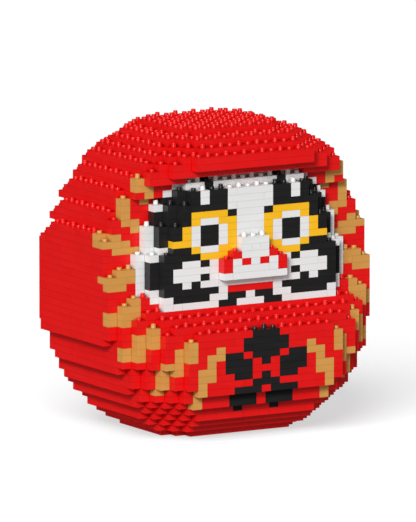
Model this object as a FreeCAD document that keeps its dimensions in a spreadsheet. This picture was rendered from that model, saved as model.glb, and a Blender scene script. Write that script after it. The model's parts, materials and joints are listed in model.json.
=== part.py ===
"""Brick-built daruma doll.

A hollow daruma doll put together from small stud-and-socket building bricks.
Every brick is one course high; its studs press into the sockets of the course
above.  Every second stud is a tall one with a pin on top: the cells whose
column + row + course is odd.  Millimetres, +Z up, the face looks along -Y, the
origin is on the base plane under the middle of the doll.  "left" is the -X side.

Grid: column i runs along X (0 .. 28), row j runs along Y from the front (0 .. 21),
course k runs up from the base (0 .. 43).
"""
import FreeCAD, Part
import os
import Sketcher

os.makedirs("parts", exist_ok=True)
doc = FreeCAD.newDocument("DarumaBrickDoll")
V = FreeCAD.Vector

# ---- driving dimensions (mm) ---------------------------------------------
dims = doc.addObject("Spreadsheet::Sheet", "Dimensions")
DIMENSIONS = [
    ("cell_pitch", 6.0, "one grid cell, along X and along Y"),
    ("course_height", 4.0, "height of one brick"),
    ("stud_diameter", 2.9, "round stud on every cell"),
    ("stud_height", 1.6, "stud above the brick's top face, on every cell"),
    ("pin_diameter", 2.6, "narrower pin that makes every second stud a tall one"),
    ("pin_height", 1.0, "how far that pin rises above its stud"),
    ("side_play", 0.04, "gap left on each side of a brick in its cell"),
    ("socket_width", 3.0, "slot under a brick that grips the studs below"),
    ("socket_depth", 2.9, "depth of that slot, deeper than a stud with its pin"),
    ("column_count", 29, "cells along X"),
    ("row_count", 22, "cells along Y"),
]
for line, (alias, value, meaning) in enumerate(DIMENSIONS, start=1):
    dims.set("A%d" % line, alias)
    dims.set("B%d" % line, str(value))
    dims.set("C%d" % line, meaning)
    dims.setAlias("B%d" % line, alias)
doc.recompute()
PITCH = float(dims.cell_pitch)
COURSE = float(dims.course_height)
COLUMNS = int(dims.column_count)
ROWS = int(dims.row_count)

# ---- the doll's outline ---------------------------------------------------
# course: [(first column, last column, front row, row behind the back)], left half
# and middle column; the right half mirrors it.
LAST_COLUMN = 28
SOLID_COURSES = (0, 42, 43)
TURNED = {(33, "eyebrow_level_courses"): 2}
FRAMES = [("inner_frame_lower", 1, True), ("inner_frame_middle", 15, True), ("inner_frame_upper", 29, False)]
BANDS = [("base_course", 0, 0), ("foot_courses", 1, 3), ("lower_bowl_courses", 4, 6), ("lower_belly_courses", 7, 9),
         ("middle_belly_courses", 10, 12), ("upper_belly_courses", 13, 15), ("belly_ledge_courses", 16, 18),
         ("chin_level_courses", 19, 21), ("mouth_level_courses", 22, 24), ("nose_level_courses", 25, 27),
         ("eye_level_courses", 28, 31), ("eyebrow_level_courses", 32, 35), ("hood_rim_courses", 36, 37),
         ("hood_brow_courses", 38, 40), ("crown_courses", 41, 42), ("crown_cap", 43, 43)]
OUTLINE = {
    0: [(7, 7, 7, 15), (8, 8, 6, 16), (9, 14, 5, 17)],
    1: [(6, 6, 6, 16), (7, 7, 5, 17), (8, 14, 4, 18)],
    2: [(5, 5, 6, 16), (6, 6, 5, 17), (7, 7, 4, 18), (8, 14, 3, 19)],
    3: [(4, 4, 6, 16), (5, 5, 5, 17), (6, 6, 4, 18), (7, 7, 3, 19), (8, 14, 2, 20)],
    4: [(4, 4, 5, 17), (5, 5, 4, 18), (6, 6, 3, 19), (7, 14, 2, 20)],
    5: [(3, 3, 5, 17), (4, 4, 4, 18), (5, 5, 3, 19), (6, 6, 2, 20), (7, 14, 1, 21)],
    6: [(3, 3, 4, 18), (4, 4, 3, 19), (5, 5, 2, 20), (6, 14, 1, 21)],
    7: [(2, 2, 5, 17), (3, 3, 4, 18), (4, 4, 3, 19), (5, 5, 2, 20), (6, 6, 1, 21), (7, 14, 0, 22)],
    8: [(2, 2, 4, 18), (3, 3, 3, 19), (4, 4, 2, 20), (5, 5, 1, 21), (6, 14, 0, 22)],
    9: [(2, 2, 4, 18), (3, 3, 3, 19), (4, 4, 2, 20), (5, 5, 1, 21), (6, 14, 0, 22)],
    10: [(1, 1, 5, 17), (2, 2, 4, 18), (3, 3, 3, 19), (4, 4, 2, 20), (5, 5, 1, 21), (6, 14, 0, 22)],
    11: [(1, 1, 4, 18), (2, 2, 3, 19), (3, 3, 2, 20), (4, 5, 1, 21), (6, 14, 0, 22)],
    12: [(1, 1, 4, 18), (2, 2, 3, 19), (3, 3, 2, 20), (4, 5, 1, 21), (6, 14, 0, 22)],
    13: [(1, 1, 4, 18), (2, 2, 3, 19), (3, 3, 2, 20), (4, 5, 1, 21), (6, 14, 0, 22)],
    14: [(0, 0, 6, 18), (1, 1, 4, 19), (2, 2, 3, 20), (3, 3, 2, 21), (4, 5, 1, 22), (6, 14, 0, 22)],
    15: [(0, 0, 5, 18), (1, 1, 4, 20), (2, 2, 3, 21), (3, 3, 2, 22), (4, 6, 1, 22), (7, 14, 0, 22)],
    16: [(0, 0, 5, 18), (1, 1, 4, 20), (2, 2, 3, 21), (3, 4, 2, 22), (5, 14, 1, 22)],
    17: [(0, 0, 5, 18), (1, 1, 4, 20), (2, 2, 3, 21), (3, 3, 3, 22), (4, 14, 2, 22)],
    18: [(0, 0, 5, 18), (1, 1, 4, 20), (2, 2, 4, 21), (3, 14, 3, 22)],
    19: [(0, 0, 5, 18), (1, 1, 4, 20), (2, 2, 4, 21), (3, 4, 4, 22), (5, 14, 3, 22)],
    20: [(0, 0, 5, 18), (1, 1, 5, 20), (2, 2, 4, 21), (3, 4, 4, 22), (5, 14, 3, 22)],
    21: [(0, 0, 5, 18), (1, 1, 5, 20), (2, 2, 5, 21), (3, 3, 5, 22), (4, 4, 4, 22), (5, 14, 3, 22)],
    22: [(0, 0, 5, 18), (1, 1, 5, 20), (2, 2, 5, 21), (3, 3, 5, 22), (4, 4, 4, 22), (5, 14, 3, 22)],
    23: [(0, 0, 5, 18), (1, 1, 5, 20), (2, 2, 5, 21), (3, 3, 5, 22), (4, 4, 4, 22), (5, 10, 3, 22), (11, 14, 2, 22)],
    24: [(0, 0, 6, 18), (1, 1, 5, 20), (2, 2, 5, 21), (3, 3, 5, 22), (4, 4, 4, 22), (5, 10, 3, 22), (11, 14, 2, 22)],
    25: [(0, 0, 6, 18), (1, 1, 6, 20), (2, 2, 6, 21), (3, 3, 5, 22), (4, 4, 4, 22), (5, 10, 3, 22), (11, 14, 2, 22)],
    26: [(0, 0, 6, 18), (1, 1, 6, 20), (2, 2, 6, 21), (3, 3, 5, 22), (4, 4, 4, 22), (5, 11, 3, 22), (12, 14, 2, 22)],
    27: [(0, 0, 6, 18), (1, 1, 6, 19), (2, 2, 6, 20), (3, 3, 6, 21), (4, 4, 5, 22), (5, 5, 4, 22), (6, 12, 3, 22), (13, 14, 2, 22)],
    28: [(0, 0, 6, 17), (1, 1, 6, 18), (2, 2, 6, 19), (3, 3, 6, 20), (4, 4, 5, 21), (5, 5, 4, 22), (6, 12, 3, 22), (13, 14, 2, 22)],
    29: [(0, 0, 7, 16), (1, 1, 6, 17), (2, 2, 6, 18), (3, 3, 6, 19), (4, 4, 5, 20), (5, 5, 4, 21), (6, 14, 3, 22)],
    30: [(1, 1, 6, 18), (2, 2, 6, 19), (3, 3, 6, 20), (4, 4, 5, 21), (5, 5, 4, 22), (6, 14, 3, 22)],
    31: [(1, 1, 6, 17), (2, 2, 6, 18), (3, 3, 6, 19), (4, 4, 6, 20), (5, 5, 5, 21), (6, 6, 4, 22), (7, 14, 3, 22)],
    32: [(1, 1, 7, 16), (2, 2, 6, 17), (3, 3, 6, 18), (4, 4, 6, 19), (5, 5, 5, 20), (6, 6, 4, 21), (7, 14, 3, 22)],
    33: [(2, 2, 6, 18), (3, 3, 6, 19), (4, 4, 6, 20), (5, 5, 5, 21), (6, 6, 4, 22), (7, 14, 3, 22)],
    34: [(2, 2, 6, 17), (3, 3, 6, 18), (4, 4, 6, 19), (5, 5, 6, 20), (6, 6, 5, 21), (7, 7, 4, 22), (8, 14, 3, 22)],
    35: [(2, 2, 7, 16), (3, 3, 5, 17), (4, 4, 5, 18), (5, 5, 5, 19), (6, 6, 5, 20), (7, 7, 4, 21), (8, 14, 3, 22)],
    36: [(3, 3, 5, 17), (4, 4, 5, 18), (5, 5, 5, 19), (6, 6, 5, 20), (7, 7, 5, 21), (8, 14, 4, 21)],
    37: [(3, 3, 5, 16), (4, 4, 4, 17), (5, 5, 4, 18), (6, 6, 4, 19), (7, 7, 4, 20), (8, 14, 5, 21)],
    38: [(4, 4, 4, 17), (5, 5, 4, 18), (6, 6, 3, 19), (7, 14, 3, 20)],
    39: [(4, 4, 5, 16), (5, 5, 4, 17), (6, 6, 3, 18), (7, 7, 3, 19), (8, 14, 2, 20)],
    40: [(5, 5, 5, 16), (6, 6, 4, 17), (7, 7, 3, 18), (8, 14, 2, 19)],
    41: [(6, 6, 6, 15), (7, 7, 5, 16), (8, 8, 4, 17), (9, 9, 3, 18), (10, 14, 3, 19)],
    42: [(7, 7, 6, 15), (8, 8, 5, 16), (9, 9, 4, 17), (10, 14, 4, 18)],
    43: [(9, 9, 7, 15), (10, 14, 6, 16)],
}
FACE_LEFT = {
    "gold_scroll_1": [
        (34, 4, 4), (35, 4, 4), (36, 3, 4), (37, 3, 3)],
    "gold_scroll_2": [
        (30, 3, 3), (31, 2, 3), (32, 2, 2), (33, 2, 2), (34, 2, 2)],
    "gold_scroll_3": [
        (27, 1, 3), (28, 0, 2), (29, 0, 1)],
    "gold_scroll_4": [
        (22, 0, 1), (23, 0, 2), (24, 1, 2)],
    "gold_scroll_5": [
        (17, 0, 1), (18, 0, 2), (19, 1, 2), (20, 2, 2)],
    "gold_scroll_6": [
        (12, 1, 2), (13, 1, 2), (14, 2, 3), (15, 2, 3), (16, 3, 3)],
    "gold_scroll_7": [
        (7, 4, 4), (8, 4, 4), (9, 4, 4), (10, 4, 5), (11, 4, 5), (12, 5, 6), (13, 5, 6),
        (14, 6, 6)],
    "gold_scroll_8": [
        (5, 7, 7), (6, 7, 7), (7, 7, 7), (8, 7, 7), (9, 7, 8), (10, 7, 8), (11, 8, 8),
        (12, 8, 9), (13, 9, 9)],
    "cheek_white": [
        (19, 5, 10), (20, 4, 5), (20, 10, 11), (21, 3, 4), (22, 3, 3), (22, 7, 7),
        (22, 9, 10), (23, 3, 3), (23, 6, 8), (23, 10, 10), (24, 3, 3), (24, 6, 10),
        (25, 3, 3), (25, 7, 8), (25, 10, 10), (26, 3, 4)],
    "whisker_black": [
        (19, 11, 11), (20, 6, 9), (21, 5, 10), (22, 4, 6), (22, 8, 8), (23, 4, 5),
        (23, 9, 9), (24, 4, 5), (25, 4, 6), (25, 9, 9), (26, 5, 8)],
    "eye_ring": [
        (26, 9, 11), (27, 8, 8), (27, 11, 12), (28, 6, 7), (28, 12, 12), (29, 7, 7),
        (29, 12, 12), (30, 7, 7), (30, 12, 12), (31, 8, 8), (31, 11, 12), (32, 8, 11)],
    "temple_white": [
        (27, 4, 5), (28, 4, 4), (29, 4, 4), (30, 4, 4), (33, 5, 5), (34, 9, 9)],
    "temple_black": [
        (27, 6, 7), (28, 5, 5), (29, 5, 6), (30, 5, 6), (31, 5, 7), (32, 5, 7),
        (32, 12, 12)],
    "eye_white": [
        (27, 9, 10), (28, 8, 8), (28, 11, 11), (29, 8, 8), (29, 11, 11), (30, 8, 8),
        (30, 11, 11), (31, 9, 10)],
    "pupil": [
        (28, 9, 10), (29, 9, 10), (30, 9, 10)],
    "eyebrow_black": [
        (33, 6, 11), (34, 6, 8), (34, 10, 11), (35, 7, 8), (35, 10, 11), (36, 10, 10),
        (37, 10, 10)],
}
FACE_CENTRE = {
    "chin_black": [
        (19, 12, 12), (19, 16, 16), (20, 12, 13), (20, 15, 16)],
    "chin_white": [
        (19, 13, 15), (20, 14, 14), (21, 11, 11), (21, 17, 17), (22, 11, 17)],
    "mouth_red": [
        (21, 12, 16)],
    "nose_white": [
        (23, 11, 17), (24, 12, 16), (25, 12, 12), (25, 14, 14), (25, 16, 16), (26, 13, 15),
        (27, 13, 15), (28, 13, 15)],
    "nostrils_red": [
        (24, 11, 11), (24, 17, 17), (25, 11, 11), (25, 13, 13), (25, 15, 15), (25, 17, 17),
        (26, 12, 12), (26, 16, 16)],
    "forehead_white": [
        (29, 13, 15), (30, 13, 15), (31, 13, 15), (32, 13, 15), (33, 12, 16), (34, 12, 16),
        (35, 6, 6), (35, 9, 9), (35, 12, 16), (35, 19, 19), (35, 22, 22), (36, 7, 9),
        (36, 11, 17), (36, 19, 21), (37, 8, 9), (37, 11, 17), (37, 19, 20)],
    "belly_emblem_black": [
        (4, 12, 12), (4, 16, 16), (5, 11, 13), (5, 15, 17), (6, 11, 13), (6, 15, 17),
        (7, 11, 13), (7, 15, 17), (8, 13, 15), (9, 11, 12), (9, 14, 14), (9, 16, 17),
        (10, 10, 12), (10, 16, 18), (11, 10, 12), (11, 14, 14), (11, 16, 18), (12, 10, 11),
        (12, 13, 15), (12, 17, 18), (13, 12, 16), (14, 12, 16), (15, 13, 15)],
}
COLOURED = dict(FACE_CENTRE)
for _name, _spans in FACE_LEFT.items():
    COLOURED[_name + "_left"] = list(_spans)
    COLOURED[_name + "_right"] = [(k, LAST_COLUMN - b, LAST_COLUMN - a) for k, a, b in _spans]
EXTRA = {}
for _name, _cells in {"gold_scroll_4": [(23, 0, 6)], "gold_scroll_3": [(28, 0, 7)]}.items():
    EXTRA[_name + "_left"] = _cells
    EXTRA[_name + "_right"] = [(k, LAST_COLUMN - i, j) for k, i, j in _cells]
# ---- brick catalogue: (rows deep, cells long) ----------------------------
CATALOGUE = [(2, 8), (2, 6), (2, 4), (1, 8), (2, 3), (1, 6), (2, 2), (1, 4), (1, 3), (1, 2), (1, 1)]


def mirrored(cells):
    return {(LAST_COLUMN - i, j) for i, j in cells}


def outline_cells(course):
    """All grid cells inside the doll's outline at one course."""
    cells = set()
    for first, last, front, back in OUTLINE[course]:
        for i in range(first, last + 1):
            for j in range(front, back):
                cells.add((i, j))
    return cells | mirrored(cells)


ALL = {k: outline_cells(k) for k in OUTLINE}
TOP = max(OUTLINE)


def rim(course, depth):
    """Cells no more than depth cells from the outside of a course."""
    cells = ALL[course]
    steps = range(-depth, depth + 1)
    return {(i, j) for i, j in cells
            if any((i + a, j + b) not in cells for a in steps for b in steps)}


def front_of(course, i):
    return min(j for c, j in ALL[course] if c == i)


def wall(course):
    """The wall of a course: its own rim, and what carries the rims above and below."""
    cells = ALL[course]
    if course in SOLID_COURSES:
        return set(cells)
    got = rim(course, 3 if course == 1 else 1)
    for other in (course - 1, course + 1):
        if other in ALL:
            got |= rim(other, 1) & cells
            got |= {c for c in cells if c not in ALL[other]}
            # a front that steps by two cells or more is carried by bricks laid front to back
            for i in {c for c, j in cells & ALL[other]}:
                near, far = front_of(course, i), front_of(other, i)
                if far - near > 1:
                    got |= {(i, j) for j in range(near, far + 1)}
    return got


def hidden(course, i, j):
    near = [(i - 1, j), (i + 1, j), (i, j - 1), (i, j + 1)]
    if any(c not in ALL[course] for c in near):
        return False
    return all((i, j) in ALL.get(k, {(i, j)}) for k in (course - 1, course + 1))


def frame_cells():
    """Cross beams inside the hollow body, each two courses deep and tied into the walls."""
    beams = {}
    for name, base, both in FRAMES:
        def put(course, cells):
            beams.setdefault((name, course), set()).update(cells)
        for course, through in ((base, False), (base + 1, True)):
            line = {(i, j) for i, j in ALL[course] if j in (10, 11)}
            put(course, line if through else line - wall(course))
        if both:
            for course, through in ((base + 1, False), (base + 2, True)):
                line = {(i, j) for i, j in ALL[course] if i in (13, 14)}
                if not through:
                    line -= wall(course)
                put(course, line - beams.get((name, course), set()))
    return beams


def assign():
    """(course, node) -> set of cells."""
    out = {}
    beams = frame_cells()
    for course in ALL:
        free = wall(course)
        for (name, k), cells in beams.items():
            if k == course:
                out.setdefault((course, name), set()).update(cells)
                free -= cells
        taken = {}
        for node, spans in COLOURED.items():
            for k, first, last in spans:
                if k != course:
                    continue
                for i in range(first, last + 1):
                    j = front_of(course, i)
                    if (i, j) not in free:
                        continue
                    taken[(i, j)] = node
                    for deeper in (j + 1, j + 2):
                        if (i, deeper) in free and hidden(course, i, deeper):
                            taken[(i, deeper)] = node
                        else:
                            break
            for k, i, j in EXTRA.get(node, []):
                if k == course:
                    taken[(i, j)] = node
        for cell in free:
            node = taken.get(cell)
            if node is None:
                node = next(n for n, lo, hi in BANDS if lo <= course <= hi)
            out.setdefault((course, node), set()).add(cell)
    return out


def tile(cells, course, node):
    """Cover cells with catalogue bricks; the seams change side from course to course."""
    left = set(cells)
    turn = course + TURNED.get((course, node), 0)
    order = sorted(left) if turn % 4 < 2 else sorted(left, key=lambda c: (c[1], c[0]))
    sign = 1 if course % 2 == 0 else -1
    if sign < 0:
        order.reverse()
    longest = 8 if course % 2 == 0 else 6
    bricks = []
    for i, j in order:
        if (i, j) not in left:
            continue
        best = None
        for deep, run in CATALOGUE:
            if run > longest:
                continue
            for along_x in ((True, False) if course % 2 == 0 else (False, True)):
                nx, ny = (run, deep) if along_x else (deep, run)
                block = {(i + sign * a, j + sign * b) for a in range(nx) for b in range(ny)}
                if block <= left and (best is None or len(block) > len(best[0])):
                    best = (block, deep, run, along_x)
        block, deep, run, along_x = best
        left -= block
        bricks.append((min(a for a, b in block), min(b for a, b in block), deep, run, along_x))
    return bricks

# ---- master bricks --------------------------------------------------------
def closed_loop(sketch, first):
    """Four lines from index first: coincident corners, level and upright sides."""
    for a in range(4):
        sketch.addConstraint(Sketcher.Constraint("Coincident", first + a, 2, first + (a + 1) % 4, 1))
    for a in (0, 2):
        sketch.addConstraint(Sketcher.Constraint("Horizontal", first + a))
    for a in (1, 3):
        sketch.addConstraint(Sketcher.Constraint("Vertical", first + a))


def add_rectangle(sketch, x0, y0, x1, y1, tag):
    """Rectangle whose four sides follow expressions; values are the starting guess."""
    first = sketch.GeometryCount
    numbers = [x0[0], y0[0], x1[0], y1[0]]
    a, b, c, d = numbers
    corners = [V(a, b, 0), V(c, b, 0), V(c, d, 0), V(a, d, 0)]
    for n in range(4):
        sketch.addGeometry(Part.LineSegment(corners[n], corners[(n + 1) % 4]), False)
    closed_loop(sketch, first)
    for name, kind, geo, pos, (value, expression) in (
            ("x_lo_" + tag, "DistanceX", first, 1, x0), ("y_lo_" + tag, "DistanceY", first, 1, y0),
            ("x_hi_" + tag, "DistanceX", first + 1, 2, x1), ("y_hi_" + tag, "DistanceY", first + 1, 2, y1)):
        index = sketch.addConstraint(Sketcher.Constraint(kind, -1, 1, geo, pos, value))
        sketch.renameConstraint(index, name)
        sketch.setExpression("Constraints." + name, expression)


def plane_of(body, role):
    return next(f for f in body.Origin.OriginFeatures if f.Role == role)


def pin_cells(deep, run, lead):
    """Cells (along X, row) of a brick whose studs are tall."""
    return [(a, b) for b in range(deep) for a in range(run) if (a + b + lead) % 2]


def make_master(deep, run, lead):
    """A brick of run cells along X and deep rows along Y: block, sockets, studs, pins."""
    tag = "%dx%d_%s" % (deep, run, "pin_first" if lead else "stud_first")
    body = doc.addObject("PartDesign::Body", "Brick_" + tag)
    body.Label = "master_brick_" + tag
    ground = plane_of(body, "XY_Plane")

    def sketch(name):
        s = doc.addObject("Sketcher::SketchObject", name + "_" + tag)
        body.addObject(s)
        s.AttachmentSupport = (ground, [""])
        s.MapMode = "FlatFace"
        return s

    play = float(dims.side_play)
    block = sketch("BlockOutline")
    add_rectangle(block, (play, "Dimensions.side_play"), (play, "Dimensions.side_play"),
                  (run * PITCH - play, "%d * Dimensions.cell_pitch - Dimensions.side_play" % run),
                  (deep * PITCH - play, "%d * Dimensions.cell_pitch - Dimensions.side_play" % deep), "block")
    doc.recompute()
    pad = doc.addObject("PartDesign::Pad", "Block_" + tag)
    body.addObject(pad)
    pad.Profile = block
    pad.Length = COURSE
    pad.setExpression("Length", "Dimensions.course_height")
    doc.recompute()

    slots = sketch("SocketOutline")
    width = float(dims.socket_width)
    lip = (PITCH - width) / 2
    lip_text = "(Dimensions.cell_pitch - Dimensions.socket_width) / 2"
    for row in range(deep):
        add_rectangle(slots, (lip, lip_text),
                      (row * PITCH + lip, "%d * Dimensions.cell_pitch + %s" % (row, lip_text)),
                      (run * PITCH - lip, "%d * Dimensions.cell_pitch - %s" % (run, lip_text)),
                      ((row + 1) * PITCH - lip, "%d * Dimensions.cell_pitch - %s" % (row + 1, lip_text)),
                      "slot%d" % row)
    doc.recompute()
    solid_before = body.Shape.Volume
    pocket = doc.addObject("PartDesign::Pocket", "Sockets_" + tag)
    body.addObject(pocket)
    pocket.Profile = slots
    pocket.Reversed = True
    pocket.Length = float(dims.socket_depth)
    pocket.setExpression("Length", "Dimensions.socket_depth")
    doc.recompute()
    cut = deep * (run * PITCH - 2 * lip) * width * float(dims.socket_depth)
    if abs(solid_before - body.Shape.Volume - cut) > 1e-3:
        raise RuntimeError("sockets of %s are cut wrong" % tag)

    studs = sketch("StudOutline")
    studs.AttachmentOffset = FreeCAD.Placement(V(0, 0, COURSE), FreeCAD.Rotation())
    studs.setExpression(".AttachmentOffset.Base.z", "Dimensions.course_height")
    for row in range(deep):
        circle = studs.addGeometry(Part.Circle(V(PITCH / 2, (row + 0.5) * PITCH, 0), V(0, 0, 1),
                                               float(dims.stud_diameter) / 2), False)
        for name, kind, pos, value, expression in (
                ("x_stud%d" % row, "DistanceX", 3, PITCH / 2, "Dimensions.cell_pitch / 2"),
                ("y_stud%d" % row, "DistanceY", 3, (row + 0.5) * PITCH,
                 "%s * Dimensions.cell_pitch" % (row + 0.5))):
            index = studs.addConstraint(Sketcher.Constraint(kind, -1, 1, circle, pos, value))
            studs.renameConstraint(index, name)
            studs.setExpression("Constraints." + name, expression)
        index = studs.addConstraint(Sketcher.Constraint("Diameter", circle, float(dims.stud_diameter)))
        studs.renameConstraint(index, "d_stud%d" % row)
        studs.setExpression("Constraints.d_stud%d" % row, "Dimensions.stud_diameter")
    doc.recompute()
    stud_pad = doc.addObject("PartDesign::Pad", "Studs_" + tag)
    body.addObject(stud_pad)
    stud_pad.Profile = studs
    stud_pad.Length = float(dims.stud_height)
    stud_pad.setExpression("Length", "Dimensions.stud_height")
    doc.recompute()
    body.Tip = stud_pad
    if run > 1:
        row_of_studs = doc.addObject("PartDesign::LinearPattern", "StudRow_" + tag)
        body.addObject(row_of_studs)
        row_of_studs.Originals = [stud_pad]
        row_of_studs.Direction = (studs, ["H_Axis"])
        row_of_studs.Length = (run - 1) * PITCH
        row_of_studs.setExpression("Length", "%d * Dimensions.cell_pitch" % (run - 1))
        row_of_studs.Occurrences = run
        body.Tip = row_of_studs
        doc.recompute()

    tall = pin_cells(deep, run, lead)
    if tall:
        pins = sketch("PinOutline")
        pins.AttachmentOffset = FreeCAD.Placement(V(0, 0, COURSE + float(dims.stud_height)), FreeCAD.Rotation())
        pins.setExpression(".AttachmentOffset.Base.z", "Dimensions.course_height + Dimensions.stud_height")
        for n, (a, b) in enumerate(tall):
            circle = pins.addGeometry(Part.Circle(V((a + 0.5) * PITCH, (b + 0.5) * PITCH, 0), V(0, 0, 1),
                                                  float(dims.pin_diameter) / 2), False)
            for name, kind, cell in (("x_pin%d" % n, "DistanceX", a), ("y_pin%d" % n, "DistanceY", b)):
                index = pins.addConstraint(Sketcher.Constraint(kind, -1, 1, circle, 3, (cell + 0.5) * PITCH))
                pins.renameConstraint(index, name)
                pins.setExpression("Constraints." + name, "%s * Dimensions.cell_pitch" % (cell + 0.5))
            index = pins.addConstraint(Sketcher.Constraint("Diameter", circle, float(dims.pin_diameter)))
            pins.renameConstraint(index, "d_pin%d" % n)
            pins.setExpression("Constraints.d_pin%d" % n, "Dimensions.pin_diameter")
        doc.recompute()
        pin_pad = doc.addObject("PartDesign::Pad", "Pins_" + tag)
        body.addObject(pin_pad)
        pin_pad.Profile = pins
        pin_pad.Length = float(dims.pin_height)
        pin_pad.setExpression("Length", "Dimensions.pin_height")
        body.Tip = pin_pad
        doc.recompute()
    return body


def solid_of(body, deep, run, lead):
    shape = body.Shape
    if len(shape.Solids) != 1 or not shape.isValid():
        raise RuntimeError(body.Label + " is not one sound solid")
    solid = shape.Solids[0]
    radius = float(dims.stud_diameter) / 2
    play = float(dims.side_play)
    width = float(dims.socket_width)
    want = ((run * PITCH - 2 * play) * (deep * PITCH - 2 * play) * COURSE
            - deep * (run * PITCH - PITCH + width) * width * float(dims.socket_depth)
            + deep * run * 3.141592653589793 * radius ** 2 * float(dims.stud_height)
            + len(pin_cells(deep, run, lead)) * 3.141592653589793
            * (float(dims.pin_diameter) / 2) ** 2 * float(dims.pin_height))
    if abs(solid.Volume - want) > 1e-2:
        raise RuntimeError("%s has volume %.3f, not %.3f" % (body.Label, solid.Volume, want))
    return solid


MASTER = {}
for deep, run in CATALOGUE:
    for lead in (0, 1):
        body = make_master(deep, run, lead)
        MASTER[(deep, run, lead)] = solid_of(body, deep, run, lead)

# ---- the sub-parts: groups of placed bricks --------------------------------
UPRIGHT = FreeCAD.Rotation(V(0, 0, 1), 0)
QUARTER = FreeCAD.Rotation(V(0, 0, 1), 90)


def place(brick, lift):
    """One brick at its cell, in the frame of its node (lift = the node's lowest course)."""
    i, j, deep, run, along_x, course = brick
    x = (i - COLUMNS / 2.0) * PITCH
    y = (j - ROWS / 2.0) * PITCH
    z = (course - lift) * COURSE
    lead = (i + j + course + (0 if along_x else deep - 1)) % 2
    solid = MASTER[(deep, run, lead)].copy()
    if along_x:
        where = FreeCAD.Placement(V(x, y, z), UPRIGHT)
    else:
        where = FreeCAD.Placement(V(x + deep * PITCH, y, z), QUARTER)
    solid.transformShape(where.toMatrix(), True)
    return solid


BRICKS = {}
for (course, node), cells in sorted(assign().items()):
    for i, j, deep, run, along_x in tile(cells, course, node):
        BRICKS.setdefault(node, []).append((i, j, deep, run, along_x, course))

nodes = []
for name in sorted(BRICKS):
    lowest = min(b[5] for b in BRICKS[name])
    group = Part.makeCompound([place(b, lowest) for b in BRICKS[name]])
    sub = doc.addObject("Part::Feature", name)
    sub.Label = name
    sub.Shape = group
    sub.Placement = FreeCAD.Placement(V(0, 0, lowest * COURSE), FreeCAD.Rotation())
    sub.setExpression(".Placement.Base.z", "%d * Dimensions.course_height" % lowest)
    nodes.append(sub)
doc.recompute()

for item in doc.Objects:
    if "Invalid" in item.State or "Error" in item.State:
        raise RuntimeError(item.Name + " did not compute")
for sub in nodes:
    if sub.Shape.isNull() or not sub.Shape.isValid():
        raise RuntimeError(sub.Label + " has no sound shape")
    if len(sub.Shape.Solids) != len(BRICKS[sub.Label]):
        raise RuntimeError(sub.Label + " lost a brick")
for sub in nodes:
    sub.Shape.exportStep(os.path.join("parts", sub.Label + ".step"))
print("%d sub-parts, %d bricks" % (len(nodes), sum(len(b) for b in BRICKS.values())))
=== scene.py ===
"""Brick-built daruma doll: plastic finishes, rounded brick edges, stage, lights and camera."""
import bpy
import json
import math
from mathutils import Matrix, Vector

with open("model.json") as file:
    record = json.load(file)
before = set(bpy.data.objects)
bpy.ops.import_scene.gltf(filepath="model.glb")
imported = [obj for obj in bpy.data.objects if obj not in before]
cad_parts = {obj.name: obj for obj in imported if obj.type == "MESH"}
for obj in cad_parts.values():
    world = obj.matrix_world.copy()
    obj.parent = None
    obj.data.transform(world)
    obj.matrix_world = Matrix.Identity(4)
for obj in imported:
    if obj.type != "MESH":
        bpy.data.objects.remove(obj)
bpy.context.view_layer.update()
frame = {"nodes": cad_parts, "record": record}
scene = bpy.context.scene


COURSE = 0.004         # one brick course
JOINT_WIDTH = 0.00034  # half height of the shade line at a course joint


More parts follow.
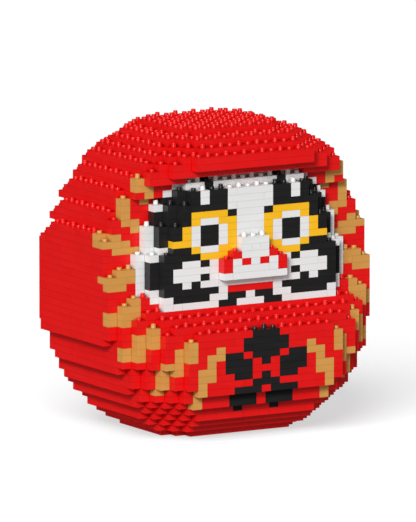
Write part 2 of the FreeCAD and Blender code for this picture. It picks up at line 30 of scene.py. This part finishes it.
# ---- moulded plastic -------------------------------------------------------
def plastic(name, base, dark, warm, line, joint, roughness, specular, coat):
    """Glossy injection-moulded plastic: batch tint, faint flow clouding, fine orange peel, handling scuffs, with
    painted shade in recesses and at course joints.
    """
    mat = bpy.data.materials.new(name)
    mat.use_nodes = True
    nt = mat.node_tree
    nt.nodes.clear()
    N, L = nt.nodes.new, nt.links.new
    out = N("ShaderNodeOutputMaterial")
    shader = N("ShaderNodeBsdfPrincipled")
    L(shader.outputs["BSDF"], out.inputs["Surface"])
    shader.inputs["Specular IOR Level"].default_value = specular
    shader.inputs["Coat Weight"].default_value = coat
    shader.inputs["Coat Roughness"].default_value = 0.12
    shader.inputs["IOR"].default_value = 1.49
    where = N("ShaderNodeTexCoord")

    # each brick leaves the mould a touch lighter or darker than its neighbours
    batch = N("ShaderNodeNewGeometry")
    cloud = N("ShaderNodeTexNoise")
    cloud.inputs["Scale"].default_value = 55.0
    cloud.inputs["Detail"].default_value = 4.0
    L(where.outputs["Object"], cloud.inputs["Vector"])
    half = N("ShaderNodeMath")
    half.operation = "MULTIPLY"
    L(cloud.outputs["Fac"], half.inputs[0])
    half.inputs[1].default_value = 0.5
    tone = N("ShaderNodeMath")
    tone.operation = "MULTIPLY_ADD"
    L(batch.outputs["Random Per Island"], tone.inputs[0])
    tone.inputs[1].default_value = 0.5
    L(half.outputs[0], tone.inputs[2])
    ramp = N("ShaderNodeValToRGB")
    ramp.color_ramp.elements[0].position = 0.15
    ramp.color_ramp.elements[0].color = (*dark, 1)
    ramp.color_ramp.elements[1].position = 0.85
    ramp.color_ramp.elements[1].color = (*warm, 1)
    mid = ramp.color_ramp.elements.new(0.5)
    mid.color = (*base, 1)
    L(tone.outputs[0], ramp.inputs["Fac"])

    # fine shade line where one course sits on the next, on upright faces only
    axes = N("ShaderNodeSeparateXYZ")
    L(where.outputs["Object"], axes.inputs[0])
    level = N("ShaderNodeMath")
    level.operation = "PINGPONG"
    L(axes.outputs["Z"], level.inputs[0])
    level.inputs[1].default_value = COURSE / 2
    near = N("ShaderNodeMapRange")
    near.interpolation_type = "SMOOTHSTEP"
    near.inputs["From Min"].default_value = JOINT_WIDTH
    near.inputs["From Max"].default_value = 0.00006
    near.inputs["To Min"].default_value = 0.0
    near.inputs["To Max"].default_value = joint
    L(level.outputs[0], near.inputs["Value"])
    facing = N("ShaderNodeSeparateXYZ")
    L(batch.outputs["True Normal"], facing.inputs[0])
    steep = N("ShaderNodeMath")
    steep.operation = "ABSOLUTE"
    L(facing.outputs["Z"], steep.inputs[0])
    upright = N("ShaderNodeMath")
    upright.operation = "LESS_THAN"
    L(steep.outputs[0], upright.inputs[0])
    upright.inputs[1].default_value = 0.8
    shade = N("ShaderNodeMath")
    shade.operation = "MULTIPLY"
    L(near.outputs["Result"], shade.inputs[0])
    L(upright.outputs[0], shade.inputs[1])
    tint = N("ShaderNodeMix")
    tint.data_type = "RGBA"
    tint.inputs["B"].default_value = (*line, 1)
    L(shade.outputs[0], tint.inputs["Factor"])
    L(ramp.outputs["Color"], tint.inputs["A"])

    # painted shade: the base colour is darkened where studs, ledges and joints close in on it, by ambient
    # occlusion multiplied into the colour
    painted_shade_ao = N("ShaderNodeAmbientOcclusion")
    painted_shade_ao.samples = 8
    painted_shade_ao.inputs["Distance"].default_value = 0.0026
    painted_shade_strength = N("ShaderNodeMapRange")
    painted_shade_strength.inputs["From Min"].default_value = 0.20
    painted_shade_strength.inputs["From Max"].default_value = 0.64
    painted_shade_strength.inputs["To Min"].default_value = 0.30
    painted_shade_strength.inputs["To Max"].default_value = 1.0
    L(painted_shade_ao.outputs["AO"], painted_shade_strength.inputs["Value"])
    painted_shade_multiply = N("ShaderNodeMix")
    painted_shade_multiply.data_type = "RGBA"
    painted_shade_multiply.blend_type = "MULTIPLY"
    painted_shade_multiply.inputs["Factor"].default_value = 1.0
    L(tint.outputs["Result"], painted_shade_multiply.inputs["A"])
    L(painted_shade_strength.outputs["Result"], painted_shade_multiply.inputs["B"])
    # the painted shade goes into the base colour
    L(painted_shade_multiply.outputs["Result"], shader.inputs["Base Color"])

    # gloss broken by fingerprints and rub marks
    rub = N("ShaderNodeTexNoise")
    rub.inputs["Scale"].default_value = 140.0
    rub.inputs["Detail"].default_value = 6.0
    rub.inputs["Roughness"].default_value = 0.65
    L(where.outputs["Object"], rub.inputs["Vector"])
    span = N("ShaderNodeMapRange")
    span.inputs["From Min"].default_value = 0.3
    span.inputs["From Max"].default_value = 0.75
    span.inputs["To Min"].default_value = roughness - 0.06
    span.inputs["To Max"].default_value = roughness + 0.10
    L(rub.outputs["Fac"], span.inputs["Value"])
    L(span.outputs["Result"], shader.inputs["Roughness"])

    # orange peel and the shallow sink the moulding leaves in flat faces
    peel = N("ShaderNodeTexNoise")
    peel.inputs["Scale"].default_value = 900.0
    peel.inputs["Detail"].default_value = 2.0
    L(where.outputs["Object"], peel.inputs["Vector"])
    sink = N("ShaderNodeTexNoise")
    sink.inputs["Scale"].default_value = 120.0
    sink.inputs["Detail"].default_value = 1.0
    L(where.outputs["Object"], sink.inputs["Vector"])
    add = N("ShaderNodeMath")
    add.operation = "MULTIPLY_ADD"
    L(sink.outputs["Fac"], add.inputs[0])
    add.inputs[1].default_value = 4.0
    L(peel.outputs["Fac"], add.inputs[2])
    bump = N("ShaderNodeBump")
    bump.inputs["Strength"].default_value = 0.10
    bump.inputs["Distance"].default_value = 0.00006
    L(add.outputs[0], bump.inputs["Height"])
    L(bump.outputs["Normal"], shader.inputs["Normal"])
    return mat


FINISH = {
    "red": plastic("plastic_red", (0.755, 0.0056, 0.0060), (0.725, 0.0050, 0.0054), (0.785, 0.0066, 0.0070),
                   (0.45, 0.0040, 0.0045), 0.5, 0.33, 0.27, 0.0),
    "gold": plastic("plastic_gold", (0.62, 0.300, 0.070), (0.59, 0.280, 0.064), (0.65, 0.320, 0.077),
                    (0.42, 0.200, 0.045), 0.45, 0.34, 0.32, 0.0),
    "white": plastic("plastic_white", (0.775, 0.775, 0.770), (0.755, 0.755, 0.750), (0.795, 0.795, 0.790),
                     (0.55, 0.55, 0.55), 0.5, 0.33, 0.32, 0.0),
    "black": plastic("plastic_black", (0.0162, 0.0162, 0.0165), (0.0145, 0.0145, 0.0150), (0.0182, 0.0182, 0.0186),
                     (0.0060, 0.0060, 0.0060), 0.5, 0.33, 0.32, 0.0),
    "yellow": plastic("plastic_yellow", (0.93, 0.50, 0.012), (0.90, 0.475, 0.011), (0.95, 0.52, 0.014),
                      (0.62, 0.300, 0.006), 0.5, 0.33, 0.32, 0.0),
}

slots = {s["node"]: s["material_slot"] for s in frame["record"]["subparts"]}
for name, node in frame["nodes"].items():
    finish = FINISH[slots[name]]
    node.data.materials.clear()
    node.data.materials.append(finish)
    for poly in node.data.polygons:
        poly.material_index = 0
    # soften every moulded edge, so the joints between bricks read as fine grooves
    weld = node.modifiers.new("join_edges", "WELD")
    weld.merge_threshold = 0.000002
    if not name.startswith("inner_frame"):
        bevel = node.modifiers.new("moulded_edges", "BEVEL")
        bevel.width = 0.00016
        bevel.segments = 1
        bevel.limit_method = "ANGLE"
        bevel.angle_limit = math.radians(50)
        bevel.use_clamp_overlap = True
        bevel.harden_normals = False

# ---- stage -----------------------------------------------------------------
mesh = bpy.data.meshes.new("floor")
S = 30.0
mesh.from_pydata([(-S, -S, 0), (S, -S, 0), (S, S, 0), (-S, S, 0)], [], [(0, 1, 2, 3)])
floor = bpy.data.objects.new("floor", mesh)
scene.collection.objects.link(floor)
paper = bpy.data.materials.new("white_paper")
paper.use_nodes = True
p = paper.node_tree.nodes["Principled BSDF"]
p.inputs["Base Color"].default_value = (0.15, 0.15, 0.15, 1)
p.inputs["Emission Color"].default_value = (1, 1, 1, 1)
p.inputs["Emission Strength"].default_value = 0.60  # a lit table
p.inputs["Roughness"].default_value = 0.9
p.inputs["Specular IOR Level"].default_value = 0.0
mesh.materials.append(paper)
floor.visible_glossy = False  # the plastic mirrors the lamps, not the table
floor.visible_diffuse = False

# ---- light -----------------------------------------------------------------
world = bpy.data.worlds.new("studio")
scene.world = world
world.use_nodes = True
bg = world.node_tree.nodes["Background"]
bg.inputs["Color"].default_value = (1, 1, 1, 1)
bg.inputs["Strength"].default_value = 0.35
world.cycles_visibility.glossy = False


def area(name, location, target, size, watts, colour=(1, 1, 1)):
    data = bpy.data.lights.new(name, "AREA")
    data.shape = "RECTANGLE"
    data.size, data.size_y = size
    data.energy = watts
    data.color = colour
    lamp = bpy.data.objects.new(name, data)
    lamp.location = location
    aim = Vector(target) - Vector(location)
    lamp.rotation_mode = "QUATERNION"
    lamp.rotation_quaternion = aim.to_track_quat("-Z", "Y")
    scene.collection.objects.link(lamp)
    return lamp


def sun(name, towards, strength, spread):
    """A large far lamp: towards points from the doll to the lamp."""
    data = bpy.data.lights.new(name, "SUN")
    data.energy = strength
    data.angle = math.radians(spread)
    lamp = bpy.data.objects.new(name, data)
    lamp.location = Vector(towards)
    lamp.rotation_mode = "QUATERNION"
    lamp.rotation_quaternion = (-Vector(towards)).to_track_quat("-Z", "Y")
    scene.collection.objects.link(lamp)
    return lamp


def only(lamp, state):
    """Say whether a lamp lights the floor alone (INCLUDE) or everything else (EXCLUDE)."""
    group = bpy.data.collections.new(lamp.name + "_receivers")
    group.objects.link(floor)
    group.collection_objects[0].light_linking.link_state = state
    lamp.light_linking.receiver_collection = group


sun("overhead", (-0.30, -0.15, 0.94), 0.10, 30)
only(sun("key", (-0.610, -0.650, 0.450), 2.95, 18), "EXCLUDE")
only(sun("table_light", (-0.53, -0.46, 0.62), 11.5, 44), "INCLUDE")
# the far side gets soft light too, but mirrors no lamp towards the front
for fill in (sun("right_fill", (0.85, 0.40, 0.15), 1.0, 40), sun("back_fill", (0.05, 0.97, 0.15), 1.0, 40)):
    fill.visible_glossy = False
area("edge_light", (-1.30, -1.00, 0.25), (0, 0, 0.09), (0.12, 0.35), 2.0)

# ---- camera ----------------------------------------------------------------
cam_data = bpy.data.cameras.new("camera")
cam = bpy.data.objects.new("camera", cam_data)
scene.collection.objects.link(cam)
right = Vector((0.8626821540415738, -0.5057463885188422, 0.00030265217431946933))
up = Vector((0.0813010995341362, 0.1392707888797182, 0.986911231357391))
look = Vector((0.4991689416547577, 0.8513661009606674, -0.16126416161782486))
cam.matrix_world = Matrix((
    (right.x, up.x, -look.x, -3.623716333715478),
    (right.y, up.y, -look.y, -6.180461232945464),
    (right.z, up.z, -look.z, 1.2648580320059524),
    (0, 0, 0, 1)))
cam_data.sensor_fit = "AUTO"
cam_data.sensor_width = 36.0
cam_data.lens = 870.7401953670354
cam_data.clip_start = 0.1
cam_data.clip_end = 100.0
scene.camera = cam
scene.view_settings.view_transform = "Standard"
